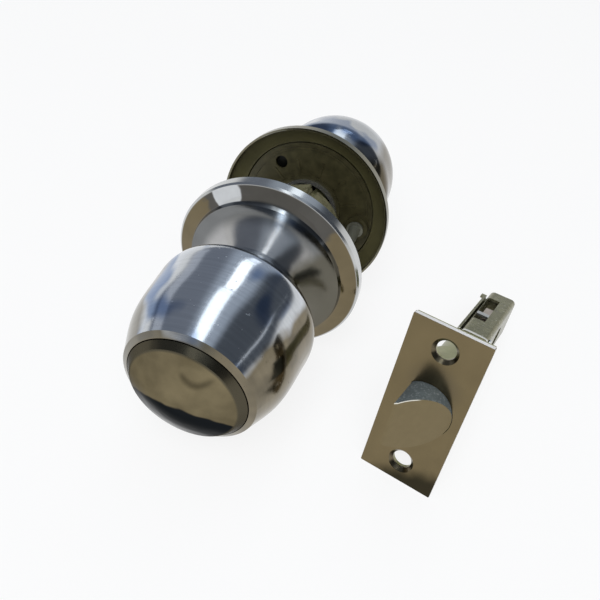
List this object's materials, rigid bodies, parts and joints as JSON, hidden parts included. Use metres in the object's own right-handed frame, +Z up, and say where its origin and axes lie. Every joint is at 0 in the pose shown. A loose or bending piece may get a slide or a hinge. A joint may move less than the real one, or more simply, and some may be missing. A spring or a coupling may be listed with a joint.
{
  "type": "round knob lockset with spring latch",
  "caption": "Round door knobs on round roses with the lock chassis between them, loosely joined, and a spring latch with a rectangular faceplate lying beside them.",
  "frame": {"origin": "on the near knob's axis, in the plane where the near rose meets the door", "axes": "+Y along the knob axis from the near knob to the far knob, +Z up from the table, +X towards the latch"},
  "size_m": [0.1238, 0.1771, 0.068],
  "materials": {
    "polished_steel": "polished stainless steel",
    "satin_steel": "turned and brushed stainless steel",
    "mirror_cap": "mirror polished steel",
    "zinc_plate": "zinc plated steel",
    "olive_plate": "yellow passivated zinc plate, dulled",
    "spring_steel": "bare steel",
    "cast_zinc": "zinc die casting",
    "tan_steel": "satin finished steel with fine scratches"
  },
  "bodies": {
    "chassis": {"near_rose": "polished_steel", "near_mounting_plate": "zinc_plate", "fixing_posts": "zinc_plate", "chassis_drum": "olive_plate", "chassis_end_plate": "olive_plate", "retractor_springs": "spring_steel", "machine_screws": "zinc_plate", "far_rose": "polished_steel", "far_mounting_plate": "olive_plate", "latch_faceplate": "tan_steel", "latch_backplate": "zinc_plate", "latch_barrel": "polished_steel", "bolt_spring": "spring_steel", "end_plug": "cast_zinc", "latch_case": "olive_plate", "case_bars": "olive_plate", "case_rivets": "zinc_plate"},
    "near_knob": {"near_knob_shell": "satin_steel", "near_knob_cap": "mirror_cap", "near_knob_sleeve": "polished_steel", "near_sleeve_ring": "spring_steel", "near_spindle": "zinc_plate"},
    "far_knob": {"far_knob_shell": "satin_steel", "far_knob_cap": "mirror_cap", "far_knob_sleeve": "polished_steel", "far_sleeve_ring": "spring_steel"},
    "far_spindle": {"far_spindle": "zinc_plate"},
    "retractor": {"retractor_slide": "cast_zinc"},
    "bolt": {"latch_bolt": "cast_zinc", "bolt_tail": "spring_steel", "tail_pin": "spring_steel"}
  },
  "joints": [
    {"name": "near_knob_turn", "type": "hinge", "parent": "chassis", "child": "near_knob", "pos_m": [0, 0, 0], "axis": [0, 1, 0], "range_deg": [-60, 60], "stiffness_Nm_per_rad": 0.05},
    {"name": "far_knob_turn", "type": "hinge", "parent": "chassis", "child": "far_knob", "pos_m": [0.0002, 0.0341, 0.00021], "axis": [0, 0.9885, -0.1513], "range_deg": [-60, 60], "stiffness_Nm_per_rad": 0.05},
    {"name": "far_spindle_turn", "type": "hinge", "parent": "chassis", "child": "far_spindle", "pos_m": [0, 0, 0], "axis": [0, 1, 0], "range_deg": [-60, 60]},
    {"name": "retractor_slide", "type": "slide", "parent": "chassis", "child": "retractor", "axis": [0.309, 0, -0.9511], "range_m": [0, 0.004], "stiffness_N_per_m": 300, "deforming": ["retractor_springs"]},
    {"name": "bolt_slide", "type": "slide", "parent": "chassis", "child": "bolt", "axis": [0.2214, 0.9438, -0.2456], "range_m": [0, 0.012], "stiffness_N_per_m": 200, "deforming": ["bolt_spring"]}
  ],
  "couplings": [
    {"joint": "far_spindle_turn", "follows": "far_knob_turn", "ratio": 1}
  ]
}
